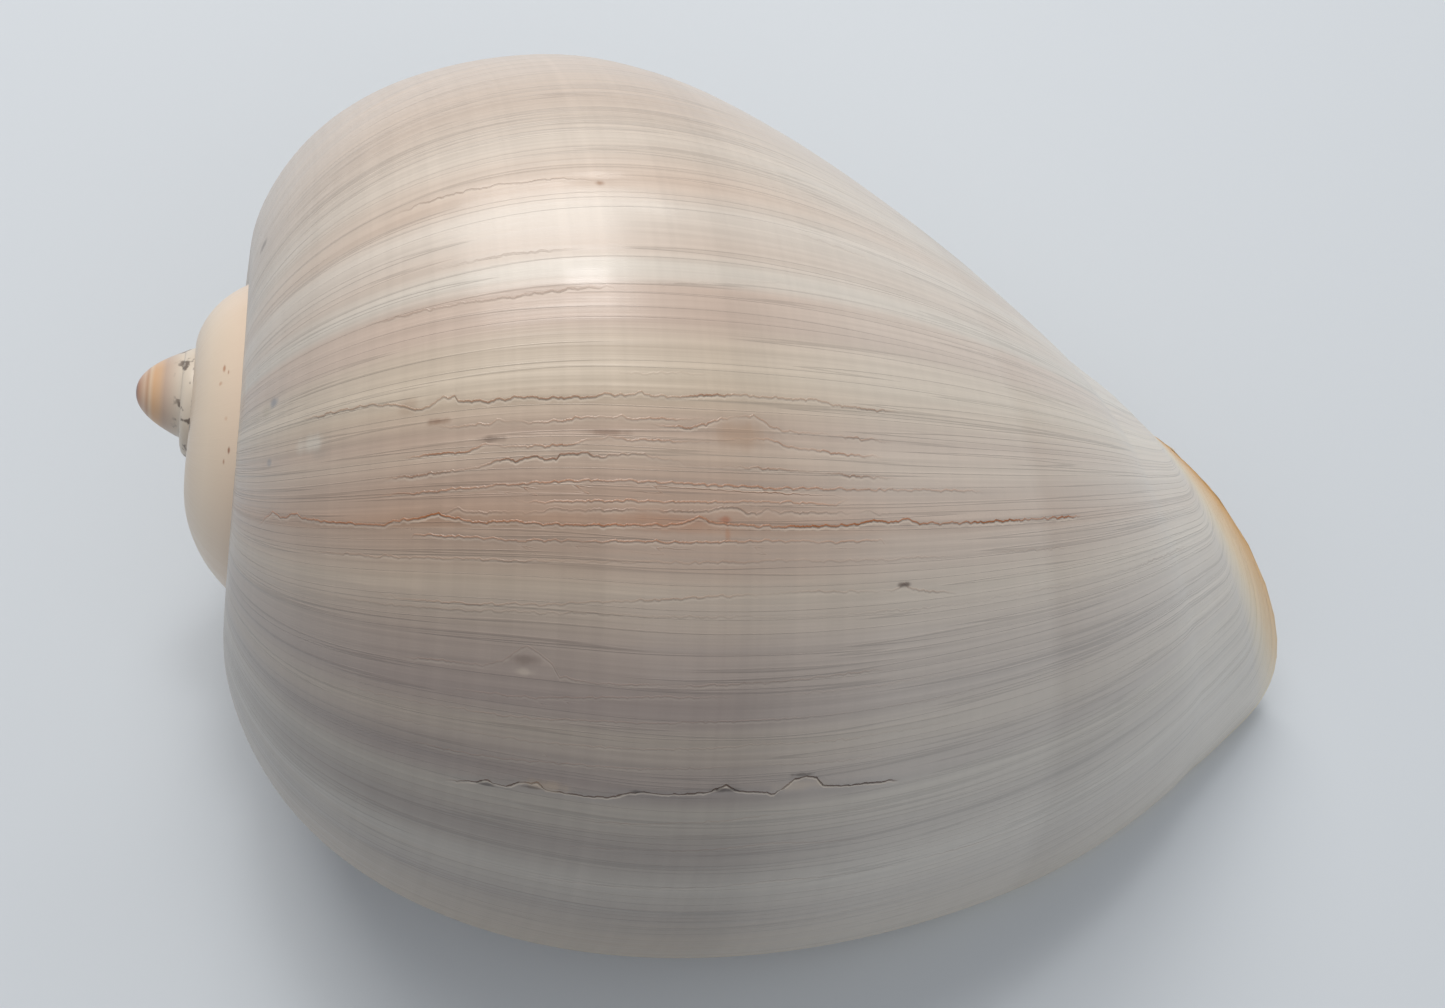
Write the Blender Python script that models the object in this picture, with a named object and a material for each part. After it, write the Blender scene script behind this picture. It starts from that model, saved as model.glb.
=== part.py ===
"""Melon shell: a large volute lying on its mouth, modelled as one solid.

The whorl is one curve, the profile, turned about the coiling axis while it grows. A point of it
is given by two numbers: the angle of growth, 0 at the lip and negative before it, and the way
along the profile, 0 at the suture and 1 at the pillar.
"""
import math

import bmesh
import bpy
import numpy as np
from mathutils import Matrix, Vector

MM = 0.001
TURN = 2 * math.pi

# Profile of the last whorl at the lip, in mm
SUTURE_X = 18.6
SUTURE_RADIUS = 32.7
PROFILE_LENGTH = 289.6
PROFILE_STATIONS = [0, 0.05, 0.12, 0.22, 0.36, 0.52, 0.68, 0.82, 0.92, 1.0]
PROFILE_SLOPES = [1.97, 1.405, 1.01, 0.556, 0.16, -0.123, -0.358, -0.652, -0.80, -0.70]

# Growth of the back of the whorl, given at each half turn back from the lip
HALF_TURNS = [-4, -3, -2.5, -2, -1.5, -1, -0.5, 0, 0.2]
WHORL_SIZES = [0.1426, 0.2589, 0.3356, 0.421, 0.5797, 0.6917, 0.8352, 1.0, 1.0765]
WHORL_SHIFTS = [4.74, 3.84, 3.16, 1.38, 3.92, 4.89, 3.52, 0.0, -0.98]
FRONT_GROWTH_X = 0.1248
FRONT_GROWTH_RADIUS = 0.2239

# Growth lines: the lip runs ahead at the suture and falls far back at the front notch
SUTURE_LEAD = 0.287
LIP_SLANT = 0.104
NOTCH_LAG = 1.714
NOTCH_START = 0.888
NOTCH_POWER = 4.2

# Wall, pillar and first whorl, in mm; the wall grows out of the first whorl at this angle
WALL_FROM = -3.4 * math.pi
ROOT = 0.7
ROOT_DEPTH = 3.0
WALL = 2.8
LIP_EDGE = 1.8
PILLAR = 6.5
PILLAR_START = 0.86
FOLDS = 3
FOLD_HEIGHT = 1.6
NUB_START = -2.2
NUB_LENGTH = 8.8
NUB_RADIUS = 8.1
NUB_LIFT = 2.2

# The narrow second whorl and the pillar's root behind the nub: place, radius and lift in mm
NUB_BASE = [(7.2, 9.9, 0.8), (11, 10.8, 0.4), (26, 9.2, 0), (58, 7, 0), (86, 6, 0), (98, 3, 0)]

LIP_ANGLE = 3.089

# How it lies: turned about the coiling axis, then tipped front end down
LAY_TURN = math.radians(-68.3)
LAY_TIP = math.radians(13.3)
FLOOR_FLAT = 0.6

COLUMNS = 80
ROWS = 24
NUB_SIDES = 20
SHELL_COLOUR = (0.60, 0.50, 0.42, 1.0)


def curve(stations, values, at):
    """A smooth curve through the values, with the slope at each one taken from its neighbours."""
    stations, values = np.asarray(stations, float), np.asarray(values, float)
    slopes = np.gradient(values, stations)
    at = np.clip(at, stations[0], stations[-1])
    i = np.clip(np.searchsorted(stations, at, side="right") - 1, 0, len(stations) - 2)
    step = stations[i + 1] - stations[i]
    t = (at - stations[i]) / step
    hold, lead = (1 + 2 * t) * (1 - t) ** 2, t * (1 - t) ** 2 * step
    take, trail = t * t * (3 - 2 * t), t * t * (t - 1) * step
    return hold * values[i] + lead * slopes[i] + take * values[i + 1] + trail * slopes[i + 1]


def profile_points():
    """Stations along the profile, with their place along the axis and radius at the lip."""
    s = np.linspace(0, 1, 401)
    slope = curve(PROFILE_STATIONS, PROFILE_SLOPES, s)
    step = PROFILE_LENGTH * (s[1] - s[0])
    along = np.cumsum(np.cos(slope)) * step
    out = np.cumsum(np.sin(slope)) * step
    return s, SUTURE_X + along - along[0], SUTURE_RADIUS + out - out[0]


STATION, PROFILE_X, PROFILE_RADIUS = profile_points()


def whorl_point(angle, s):
    """Place along the axis and radius of the outer surface."""
    inner = np.clip(-s, 0, 1)
    x = np.interp(s, STATION, PROFILE_X) + 0.2 * inner * SUTURE_RADIUS
    radius = np.interp(s, STATION, PROFILE_RADIUS) * (1 - inner)
    t = np.clip((s - 0.35) / 0.55, 0, 1)
    front = t * t * (3 - 2 * t)
    half_turns = angle / math.pi
    back_size = np.log(curve(HALF_TURNS, WHORL_SIZES, half_turns))
    shift = curve(HALF_TURNS, WHORL_SHIFTS, half_turns)
    x = x * np.exp((1 - front) * back_size + front * FRONT_GROWTH_X * angle) + (1 - front) * shift
    return x, radius * np.exp((1 - front) * back_size + front * FRONT_GROWTH_RADIUS * angle)


def growth_line(s):
    """How far a growth line runs ahead of its angle at each station."""
    lead = SUTURE_LEAD * np.clip(1 - np.clip(s, 0, 1) / 0.35, 0, None) ** 2
    lag = NOTCH_LAG * np.clip((s - NOTCH_START) / (1 - NOTCH_START), 0, None) ** NOTCH_POWER
    return lead - LIP_SLANT * (s - 0.5) - lag


def in_space(angle, x, radius):
    """Points in the shell's own frame: X along the coiling axis, the lip at the bottom."""
    turned = angle + LIP_ANGLE
    return np.stack([x, -radius * np.sin(turned), radius * np.cos(turned)], -1)


def solid(name, rings):
    """A mesh from rings of points, with each end closed by strips from side to side of its ring."""
    mesh = bmesh.new()
    rows = [[mesh.verts.new(Vector(p) * MM) for p in ring] for ring in rings]
    count = len(rows[0])
    for a, b in zip(rows, rows[1:]):
        for i in range(count):
            j = (i + 1) % count
            mesh.faces.new((a[i], a[j], b[j], b[i]))
    for ring in (rows[0], rows[-1]):
        for i in range((count - 1) // 2):
            strip = (ring[i], ring[i + 1], ring[count - 2 - i], ring[count - 1 - i])
            mesh.faces.new(tuple(dict.fromkeys(strip)))
    bmesh.ops.triangulate(mesh, faces=mesh.faces)
    bmesh.ops.recalc_face_normals(mesh, faces=mesh.faces)
    data = bpy.data.meshes.new(name)
    mesh.to_mesh(data)
    mesh.free()
    return bpy.data.objects.new(name, data)


def wall():
    """The wall of the hollow whorls: a sheet with the pillar as its thick front edge."""
    s = np.interp(np.linspace(0, 1, ROWS), [0, 0.11, 0.39, 0.69, 1], [-0.25, 0, 0.25, 0.84, 1])
    start = WALL_FROM
    base = np.linspace(start, 0, COLUMNS)[:, None]
    drift = growth_line(s)[None] * np.clip(1 + base / 2.5, 0, 1)
    reach = 1 + 1.4 * np.clip((-4 - base) / 1.5, 0, 1)
    x, radius = whorl_point(base + drift, np.where(s < 0, s * reach, s))
    outer = in_space(base + drift, x, radius)
    normal = np.cross(np.gradient(outer, axis=0), np.gradient(outer, axis=1))
    normal /= np.linalg.norm(normal, axis=-1, keepdims=True)
    centre = in_space(base + drift, x, radius * 0.5)
    facing = np.sign(((outer - centre) * normal).sum(-1, keepdims=True))
    normal *= np.where(facing[:, ROWS // 2:ROWS // 2 + 1] < 0, -1, 1)
    past = np.clip((s - PILLAR_START) / (1 - PILLAR_START), 0, 1)
    thick = WALL + (PILLAR - WALL) * past ** 1.5
    thick += FOLD_HEIGHT * np.sin(np.pi * FOLDS * past) ** 2 * (past > 0) * (past < 1)
    young = np.clip(1 + base / 1.3, 0, 1) ** 0.5
    thick = thick[None] * (1 - young) + np.minimum(thick, WALL)[None] * young
    thick = thick * np.clip(1 + 0.09 * (base + TURN), 0.55, 1)
    edge = np.clip(1 + base / 0.06, 0, 1)
    thick = thick * (1 - edge) + LIP_EDGE * edge
    sink = ROOT_DEPTH * np.clip(1 - (base - start) / ROOT, 0, 1) ** 2
    outer = outer - normal * sink[..., None]
    inner = outer - normal * thick[..., None]
    rim = np.gradient(outer[:, -1], axis=0)
    rim /= np.linalg.norm(rim, axis=-1, keepdims=True)
    bulge = outer[:, -1] - outer[:, -2]
    bulge -= (bulge * rim).sum(-1, keepdims=True) * rim
    bulge /= np.linalg.norm(bulge, axis=-1, keepdims=True)
    end = (outer[:, -1] + inner[:, -1]) / 2 + bulge * thick[:, -1:] * 0.45
    rings = [list(o) + [e] + list(i[::-1]) for o, e, i in zip(outer, end, inner)]
    return solid("wall", rings)


def nub():
    """The first whorl, a blunt rounded cone, on the narrow second one and the root of the pillar."""
    t = np.linspace(0.12, 1, 6)
    rings = list(zip(NUB_START + NUB_LENGTH * t ** 1.5, NUB_RADIUS * t ** 0.82, NUB_LIFT + 0 * t))
    around = np.linspace(0, TURN, NUB_SIDES, endpoint=False)
    y, z = np.sin(around), np.cos(around)
    return solid("nub", [np.stack([np.full(NUB_SIDES, x), r * y, lift + r * z], -1)
                         for x, r, lift in rings + NUB_BASE])


def join(target, tool, cutters):
    """Joins the tool into the target and keeps the tool out of sight."""
    cutters.objects.link(tool)
    tool.hide_render = True
    tool.display_type = "WIRE"
    union = target.modifiers.new(tool.name, "BOOLEAN")
    union.operation = "UNION"
    union.solver = "EXACT"
    union.use_self = True
    union.object = tool


def shell_material():
    material = bpy.data.materials.new("shell")
    material.use_nodes = True
    shader = material.node_tree.nodes["Principled BSDF"]
    shader.inputs["Base Color"].default_value = SHELL_COLOUR
    shader.inputs["Roughness"].default_value = 0.35
    shader.inputs["Metallic"].default_value = 0.0
    return material


def main():
    for thing in list(bpy.data.objects):
        bpy.data.objects.remove(thing)
    parts = bpy.data.collections.new("melon_shell")
    cutters = bpy.data.collections.new("cutters")
    for collection in (parts, cutters):
        bpy.context.scene.collection.children.link(collection)

    shell = wall()
    parts.objects.link(shell)
    join(shell, nub(), cutters)
    bpy.context.view_layer.update()
    whole = shell.evaluated_get(bpy.context.evaluated_depsgraph_get())
    mesh = bpy.data.meshes.new_from_object(whole)
    shell.modifiers.clear()
    mesh.transform(Matrix.Rotation(LAY_TIP, 4, "Y") @ Matrix.Rotation(LAY_TURN, 4, "X"))

    corners = np.array([v.co for v in mesh.vertices])
    low, high = corners.min(0), corners.max(0)
    mesh.transform(Matrix.Translation(Vector((-(low[0] + high[0]) / 2, -(low[1] + high[1]) / 2, -low[2]))))
    for vertex in mesh.vertices:
        vertex.co.z = max(vertex.co.z - FLOOR_FLAT * MM, 0)
    shell.data = mesh
    shell.name = "shell"
    mesh.name = "shell"
    mesh.materials.clear()
    mesh.materials.append(shell_material())
    print("faces", len(mesh.polygons), "size", (high - low) / MM)


main()
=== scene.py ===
import math

import bpy
import numpy as np
from mathutils import Matrix, Vector


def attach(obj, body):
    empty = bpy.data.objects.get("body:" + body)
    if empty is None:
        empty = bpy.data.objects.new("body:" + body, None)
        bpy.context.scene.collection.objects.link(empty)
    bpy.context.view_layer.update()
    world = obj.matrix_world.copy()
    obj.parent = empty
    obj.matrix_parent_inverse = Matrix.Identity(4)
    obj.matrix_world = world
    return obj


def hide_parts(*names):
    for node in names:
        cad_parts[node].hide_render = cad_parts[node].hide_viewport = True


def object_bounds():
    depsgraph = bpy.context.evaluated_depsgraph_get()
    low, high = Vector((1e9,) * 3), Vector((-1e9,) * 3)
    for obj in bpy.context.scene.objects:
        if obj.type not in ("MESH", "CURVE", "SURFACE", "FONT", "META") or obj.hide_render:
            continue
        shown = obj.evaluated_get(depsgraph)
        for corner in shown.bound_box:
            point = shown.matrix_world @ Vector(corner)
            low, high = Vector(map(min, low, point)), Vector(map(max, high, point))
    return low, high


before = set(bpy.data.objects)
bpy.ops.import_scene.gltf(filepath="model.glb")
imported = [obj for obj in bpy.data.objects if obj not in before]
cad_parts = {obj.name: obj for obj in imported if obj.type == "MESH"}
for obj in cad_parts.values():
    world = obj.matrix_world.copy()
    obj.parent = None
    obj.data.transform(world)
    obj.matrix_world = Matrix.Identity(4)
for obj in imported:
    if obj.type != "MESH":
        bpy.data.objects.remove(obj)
cad_low, cad_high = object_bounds()

# %% [markdown]
# # Melon shell
# A melon shell is one spiral: a single curve, the profile, swept round the coiling axis while it
# grows. It could be sculpted by hand, but the relief and the colour of a shell follow its growth, and
# a sculpted mesh doesn't know where that went. The CAD frame was made from the rule of growth, so
# the fine surface here is made from the same rule with many more points. Two numbers place a point:
# the angle of growth, 0 at the lip and negative before it, and the station along the profile, 0 at
# the suture and 1 at the pillar.

# %% The driving dimensions of the spiral in mm, as the CAD part has them
MM = 0.001
TURN = 2 * math.pi
SUTURE_X = 18.6
SUTURE_RADIUS = 32.7
PROFILE_LENGTH = 289.6
PROFILE_STATIONS = [0, 0.05, 0.12, 0.22, 0.36, 0.52, 0.68, 0.82, 0.92, 1.0]
PROFILE_SLOPES = [1.97, 1.405, 1.01, 0.556, 0.16, -0.123, -0.358, -0.652, -0.80, -0.70]
HALF_TURNS = [-4, -3, -2.5, -2, -1.5, -1, -0.5, 0, 0.2]
WHORL_SIZES = [0.1426, 0.2589, 0.3356, 0.421, 0.5797, 0.6917, 0.8352, 1.0, 1.0765]
WHORL_SHIFTS = [4.74, 3.84, 3.16, 1.38, 3.92, 4.89, 3.52, 0.0, -0.98]
FRONT_GROWTH_X = 0.1248
FRONT_GROWTH_RADIUS = 0.2239
SUTURE_LEAD = 0.287
LIP_SLANT = 0.104
NOTCH_LAG = 1.714
NOTCH_START = 0.888
NOTCH_POWER = 4.2
LIP_ANGLE = 3.089
LAY_TURN = math.radians(-68.3)
LAY_TIP = math.radians(13.3)


# %% [markdown]
# ## The rule of growth
# The profile is kept as a slope at each station and added up, so that it stays smooth. Each whorl is
# the profile drawn smaller, by a size that falls at every half turn back.

# %% A smooth curve, and the profile from its slopes
def curve(stations, values, at):
    """A smooth curve through the values, with the slope at each one taken from its neighbours."""
    stations, values = np.asarray(stations, float), np.asarray(values, float)
    slopes = np.gradient(values, stations)
    at = np.clip(at, stations[0], stations[-1])
    i = np.clip(np.searchsorted(stations, at, side="right") - 1, 0, len(stations) - 2)
    step = stations[i + 1] - stations[i]
    t = (at - stations[i]) / step
    hold, lead = (1 + 2 * t) * (1 - t) ** 2, t * (1 - t) ** 2 * step
    take, trail = t * t * (3 - 2 * t), t * t * (t - 1) * step
    return hold * values[i] + lead * slopes[i] + take * values[i + 1] + trail * slopes[i + 1]


STATION = np.linspace(0, 1, 401)
slope = curve(PROFILE_STATIONS, PROFILE_SLOPES, STATION)
step = PROFILE_LENGTH * STATION[1]
PROFILE_X = SUTURE_X + np.cumsum(np.cos(slope)) * step - math.cos(slope[0]) * step
PROFILE_RADIUS = SUTURE_RADIUS + np.cumsum(np.sin(slope)) * step - math.sin(slope[0]) * step
print("profile: widest radius", round(PROFILE_RADIUS.max(), 1), "mm, front end at",
      round(PROFILE_X[-1], 1), "mm")


# %% [markdown]
# The back of the profile shrinks by the whorl sizes, and its front end by a plain spiral law; the two
# are blended over BLEND_LENGTH from BLEND_START on. Stations below 0 go on inward, under the suture.

# %% A point of the whorl
BLEND_START = 0.35
BLEND_LENGTH = 0.55
INWARD_RISE = 0.2


def whorl_point(angle, s):
    """Place along the axis and radius of the outer surface, in mm."""
    inner = np.clip(-s, 0, 1)
    x = np.interp(s, STATION, PROFILE_X) + INWARD_RISE * inner * SUTURE_RADIUS
    radius = np.interp(s, STATION, PROFILE_RADIUS) * (1 - inner)
    t = np.clip((s - BLEND_START) / BLEND_LENGTH, 0, 1)
    front = t * t * (3 - 2 * t)
    back_size = np.log(curve(HALF_TURNS, WHORL_SIZES, angle / math.pi))
    shift = curve(HALF_TURNS, WHORL_SHIFTS, angle / math.pi)
    x = x * np.exp((1 - front) * back_size + front * FRONT_GROWTH_X * angle) + (1 - front) * shift
    return x, radius * np.exp((1 - front) * back_size + front * FRONT_GROWTH_RADIUS * angle)


# %% [markdown]
# Growth lines are former lips. They run ahead at the suture and fall far back at the front notch, so
# one short formula of the station gives them all.

# %% Growth lines, and the step from the spiral's numbers into space
LEAD_LENGTH = 0.35


def growth_line(s):
    """How far a growth line runs ahead of its angle at each station."""
    lead = SUTURE_LEAD * np.clip(1 - np.clip(s, 0, 1) / LEAD_LENGTH, 0, None) ** 2
    lag = NOTCH_LAG * np.clip((s - NOTCH_START) / (1 - NOTCH_START), 0, None) ** NOTCH_POWER
    return lead - LIP_SLANT * (s - 0.5) - lag


def in_space(angle, x, radius):
    """Points in the shell's own frame, in mm: X along the coiling axis, the lip at the bottom."""
    turned = angle + LIP_ANGLE
    return np.stack([x, -radius * np.sin(turned), radius * np.cos(turned)], -1)


# %% [markdown]
# ## Columns and stations
# The surface could be an even grid with a subdivision on it. Relief that follows growth lines costs
# far fewer faces when the columns of the mesh follow those lines too, so on the last whorl they do.
# The last few columns crowd together to round the lip, and the early whorls, nearly all hidden, get
# few columns.

# %% Columns and stations of the mesh
LAST_COLUMNS = 540
EARLY_COLUMNS = 120
LIP_COLUMNS = 9
OUTSIDE_ROWS = 96
INSIDE_ROWS = 40
WALL_FROM = -3.4 * math.pi
EARLY_TO = -0.75 * TURN
LIP_ROUND = 0.018
LINES_FADE = 2.5
ROW_SHARES = [0, 0.07, 0.35, 0.75, 1]
ROW_STATIONS = [-0.25, 0, 0.25, 0.84, 1]
lip_turn = np.linspace(0, math.pi / 2, LIP_COLUMNS)
base = np.concatenate([
    np.linspace(WALL_FROM, EARLY_TO, EARLY_COLUMNS, endpoint=False),
    np.linspace(EARLY_TO, -LIP_ROUND, LAST_COLUMNS, endpoint=False),
    -LIP_ROUND * (1 - np.sin(lip_turn)),
])[:, None]
s = np.interp(np.linspace(0, 1, OUTSIDE_ROWS), ROW_SHARES, ROW_STATIONS)
angle = base + growth_line(s)[None] * np.clip(1 + base / LINES_FADE, 0, 1)
growth = angle - growth_line(s)[None]
print("columns", len(base), "rows", len(s))

# %% [markdown]
# The oldest whorls reach further in under the suture, where they meet the root of the pillar. After
# this cell every point of the outside has its growth angle, its station and its radius.

# %% The smooth outside
REACH_FROM = -4
REACH_LENGTH = 1.5
REACH_MORE = 1.4
reach = 1 + REACH_MORE * np.clip((REACH_FROM - base) / REACH_LENGTH, 0, 1)
along = np.where(s < 0, s * reach, s)
x, radius = whorl_point(angle, along)
outer = in_space(angle, x, radius)
print("outside points", outer.shape)

# %% [markdown]
# ## Scars
# Where growth stopped and went on, the older edge stands proud of the newer shell and wavers like a torn hem.
# Noise could make such lines, but not these ones. So each strong scar is a short list of points. They were
# marked on the photo, and the fitted camera turned them into a growth angle and how far the scar strays from
# it along growth at each station.

# %% Scars: name, growth angle, strength, rust, and the line as (station, mm along growth)
SCARS = [
    ("long wavy", -1.569, 0.92, 0.5, [
        (0.140, -1.8), (0.190, -1.5), (0.210, -1.0), (0.232, 0.7), (0.244, -0.6), (0.253, -0.6), (0.255, 0.2),
        (0.275, 0.7), (0.285, 0.5), (0.299, 0.4), (0.305, 0.8), (0.335, 0.8), (0.347, 0.2), (0.357, 0.5),
        (0.367, -0.2), (0.373, 0.4), (0.389, 0.4), (0.411, -0.2), (0.431, -0.4), (0.477, -0.2), (0.479, -0.6),
        (0.501, 0.2), (0.529, 0.4), (0.553, 0.3)]),
    ("upper pair", -1.524, 0.55, 0.7, [
        (0.236, 0.2), (0.275, 0.5), (0.279, 0.1), (0.299, 0.8), (0.315, 0.6), (0.327, 0.2), (0.347, 0.0),
        (0.353, -0.3), (0.363, 0.1), (0.405, -0.2), (0.413, -0.2)]),
    ("jagged", -1.514, 0.6, 0.6, [
        (0.373, 0.0), (0.379, 0.3), (0.389, 0.0), (0.395, 0.4), (0.407, -0.3), (0.417, -1.3), (0.427, -1.6),
        (0.439, -2.0), (0.445, -1.2), (0.449, -0.6), (0.459, 0.0), (0.487, 0.3), (0.507, 0.6), (0.539, 0.9),
        (0.549, 0.5)]),
    ("blade", -1.481, 0.8, 0.7, [
        (0.220, 1.1), (0.263, 0.9), (0.273, 0.0), (0.277, 0.3), (0.287, 0.7), (0.301, 0.7), (0.323, 0.6),
        (0.333, 0.0), (0.343, -0.4), (0.347, -0.8), (0.357, -0.4), (0.371, -0.4), (0.395, -0.4),
        (0.417, -0.8), (0.427, -1.2), (0.449, -1.2),
        (0.461, -0.4), (0.475, 0.0), (0.505, 0.6), (0.533, 0.7)]),
    ("white edge", -1.448, 0.9, 0.4, [
        (0.206, 1.5), (0.259, 1.1), (0.269, 0.7), (0.285, -0.3), (0.291, 0.2), (0.299, -0.5), (0.307, -0.2),
        (0.315, 0.0), (0.317, -0.7), (0.331, -1.0), (0.341, -0.4), (0.347, -0.8), (0.363, -1.2),
        (0.371, -0.8), (0.389, -0.4), (0.393, 0.3), (0.421, 0.2), (0.447, 0.3), (0.483, 0.7), (0.513, 1.1),
        (0.545, 1.3)]),
    ("grey wavy", -1.365, 0.55, 0.0, [
        (0.234, 1.3), (0.244, 1.0), (0.251, 0.8), (0.255, 0.2), (0.263, 0.8), (0.293, 1.0), (0.305, 0.9),
        (0.311, 0.3), (0.325, 0.5), (0.347, 0.3), (0.363, -0.1), (0.395, -0.1), (0.407, -0.3),
        (0.417, -0.9), (0.425, -0.9), (0.431, 0.0), (0.441, -0.3), (0.445, -0.8), (0.453, -0.3),
        (0.501, -0.3), (0.517, -0.6), (0.525, 0.1), (0.543, 0.1)]),
    ("rust", -1.344, 1.3, 1.0, [
        (0.096, 1.8), (0.110, -0.1), (0.116, -1.1), (0.126, -0.2), (0.142, -1.1), (0.146, -0.3),
        (0.170, 0.2), (0.208, 0.8), (0.220, 0.1), (0.234, -0.1), (0.244, -0.8), (0.248, -0.3),
        (0.257, 0.1), (0.267, 0.7), (0.289, 0.5), (0.307, 0.9), (0.325, 0.9), (0.343, 0.7), (0.371, 0.3),
        (0.387, 0.1), (0.395, -0.5), (0.401, -1.3), (0.409, -0.3), (0.451, 0.1), (0.501, -0.1),
        (0.521, -0.8), (0.533, -0.3), (0.547, -0.9), (0.555, -0.1), (0.593, 0.1), (0.72, 0.2)]),
    ("notched", -1.212, 0.4, 0.4, [
        (0.196, 1.3), (0.222, 2.2), (0.267, 2.5), (0.309, 2.0), (0.357, 0.6), (0.407, -0.7), (0.469, -1.4),
        (0.525, -0.8), (0.537, -0.8), (0.543, -1.6), (0.549, -0.6), (0.587, 0.9)]),
    ("pit arch", -1.067, 0.35, 0.2, [
        (0.224, 0.7), (0.257, 0.3), (0.275, 0.5), (0.287, -0.7), (0.295, -2.5), (0.301, -3.5),
        (0.309, -2.5), (0.317, -0.7), (0.321, 0.9), (0.343, 1.3), (0.383, 0.9), (0.443, 0.3),
        (0.529, -0.5)]),
    ("dark strong", -0.837, 2.4, 0.0, [
        (0.259, 4.1), (0.279, 2.8), (0.285, 1.8), (0.289, 2.4), (0.299, 2.3), (0.307, 1.0), (0.315, 0.6),
        (0.319, 1.8), (0.333, 1.9), (0.349, 1.9), (0.363, 1.3), (0.371, 0.0), (0.381, -0.3), (0.391, 0.0),
        (0.415, -0.5), (0.423, -1.5), (0.427, -2.0), (0.435, -0.9), (0.451, -0.3), (0.459, 0.4),
        (0.465, -1.1), (0.471, -2.3), (0.479, -2.8), (0.487, -2.0), (0.491, -0.5), (0.505, 0.0),
        (0.547, 1.2)]),
]

# %% [markdown]
# Softer steps lie between the scars. They are nearly straight, so a few points each are enough. The
# last ones are on the side that the photo doesn't show and carry on in the same way.

# %% Softer steps: growth angle, strength, rust, and the line as (station, mm along growth)
SOFT_STEPS = [
    (-2.034, 0.45, 0.1, [(0.202, -0.6), (0.261, -0.4), (0.329, 0.7), (0.355, 1.4)]),
    (-1.942, 0.25, 0.1, [(0.423, -1.6), (0.467, -0.3), (0.571, 0.9)]),
    (-1.856, 0.30, 0.1, [(0.230, -0.2), (0.343, 0.1)]),
    (-1.797, 0.30, 0.2, [(0.373, 1.9), (0.413, 0.6), (0.457, -0.6), (0.489, -1.7)]),
    (-1.769, 0.50, 0.2, [(0.184, -0.9), (0.238, -0.1), (0.283, 0.5), (0.359, -0.4)]),
    (-1.610, 0.35, 0.6, [(0.341, 0.5), (0.381, 0.1), (0.443, -0.1)]),
    (-1.411, 0.75, 1.0, [(0.200, 1.4), (0.299, 0.6), (0.359, -0.3), (0.447, -0.2), (0.650, 0.4)]),
    (-1.380, 0.60, 1.0, [(0.281, 0.8), (0.359, 0.0), (0.437, -0.4), (0.509, 0.0)]),
    (-1.312, 0.85, 1.0, [(0.220, 0.0), (0.299, 0.7), (0.379, 0.0), (0.445, -0.6), (0.541, -0.3)]),
    (-1.275, 0.35, 0.4, [(0.150, 0.4), (0.300, 0.6), (0.450, -0.6), (0.700, 0.2)]),
    (-1.180, 0.25, 0.1, [(0.170, 0.6), (0.260, 1.2), (0.400, -0.4), (0.880, 0.3)]),
    (-1.028, 0.30, 0.4, [(0.255, 2.0), (0.303, 1.8), (0.353, 0.0), (0.393, -0.9), (0.600, -1.3)]),
    (-0.980, 0.25, 0.3, [(0.180, 1.4), (0.300, 1.2), (0.400, -0.8), (0.620, -1.0)]),
    (-0.930, 0.22, 0.3, [(0.200, 1.6), (0.330, 0.8), (0.450, -1.0), (0.600, -0.4)]),
    (-0.886, 0.28, 0.3, [(0.228, 1.8), (0.281, 1.4), (0.357, 0.1), (0.449, -1.2), (0.543, -0.1)]),
    (-0.760, 0.30, 0.5, [(0.335, 0.9), (0.385, -0.2), (0.461, -2.1), (0.549, 0.2)]),
    (-0.684, 0.30, 0.6, [(0.325, 0.8), (0.387, -0.8), (0.465, -2.2), (0.553, 1.2)]),
    (-0.571, 0.35, 0.2, [(0.300, 1.3), (0.401, -0.7), (0.471, -2.0), (0.559, 0.0), (0.650, 1.2)]),
    (-0.400, 0.30, 0.2, [(0.250, 1.0), (0.450, -0.6), (0.650, 0.6)]),
    (-2.60, 0.35, 0.2, [(0.180, 0.8), (0.350, -0.6), (0.550, 0.5)]),
    (-2.95, 0.40, 0.3, [(0.150, 0.5), (0.300, -0.8), (0.600, 0.6)]),
    (-3.40, 0.35, 0.2, [(0.200, 0.9), (0.380, -0.6), (0.700, 0.4)]),
    (-3.90, 0.30, 0.2, [(0.150, 0.5), (0.350, -0.8), (0.600, 0.6)]),
]

# %% [markdown]
# A step is highest at its edge and falls away slowly over the older shell. On the newer side it ends within a
# millimetre. The height goes into the mesh, so it shows in every light.
# The thin dark line at its foot, painted shadow of the step with some brown stain in it, is finer than the
# mesh: for the softer steps the distance to the nearest one is kept on the mesh for the material, and the
# strong scars are drawn by the material.

# %% Helpers of the relief
STEP_REACH = 2.2
RELIEF_PER_STRENGTH = 0.22
STEP_FOOT = 0.9
STEP_ENDS = 0.03
FAR_AWAY = 50.0
WAVES = [(14, 0.40), (31, 0.30), (66, 0.26), (131, 0.16), (240, 0.08)]
rng = np.random.default_rng(11)


def waver(along, rng):
    """A wavering line between about -1 and 1."""
    return sum(size * np.sin(rate * along + rng.uniform(0, TURN)) for rate, size in WAVES)


def step_from(place, line):
    """Distance to a step in mm, positive on its newer side, and a mask that fades at its ends."""
    stations, offsets = np.array(line).T
    distance = (growth - place) * radius - np.interp(along, stations, offsets)
    ends = (np.clip((along - stations[0]) / STEP_ENDS, 0, 1)
            * np.clip((stations[-1] - along) / STEP_ENDS, 0, 1))
    return distance, ends


def step_relief(distance, ends, strength):
    """Height of the older edge in mm."""
    older = np.exp(np.minimum(distance, 0) / STEP_REACH) * np.clip(1 - distance / STEP_FOOT, 0, 1)
    return RELIEF_PER_STRENGTH * strength * ends * older


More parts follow.
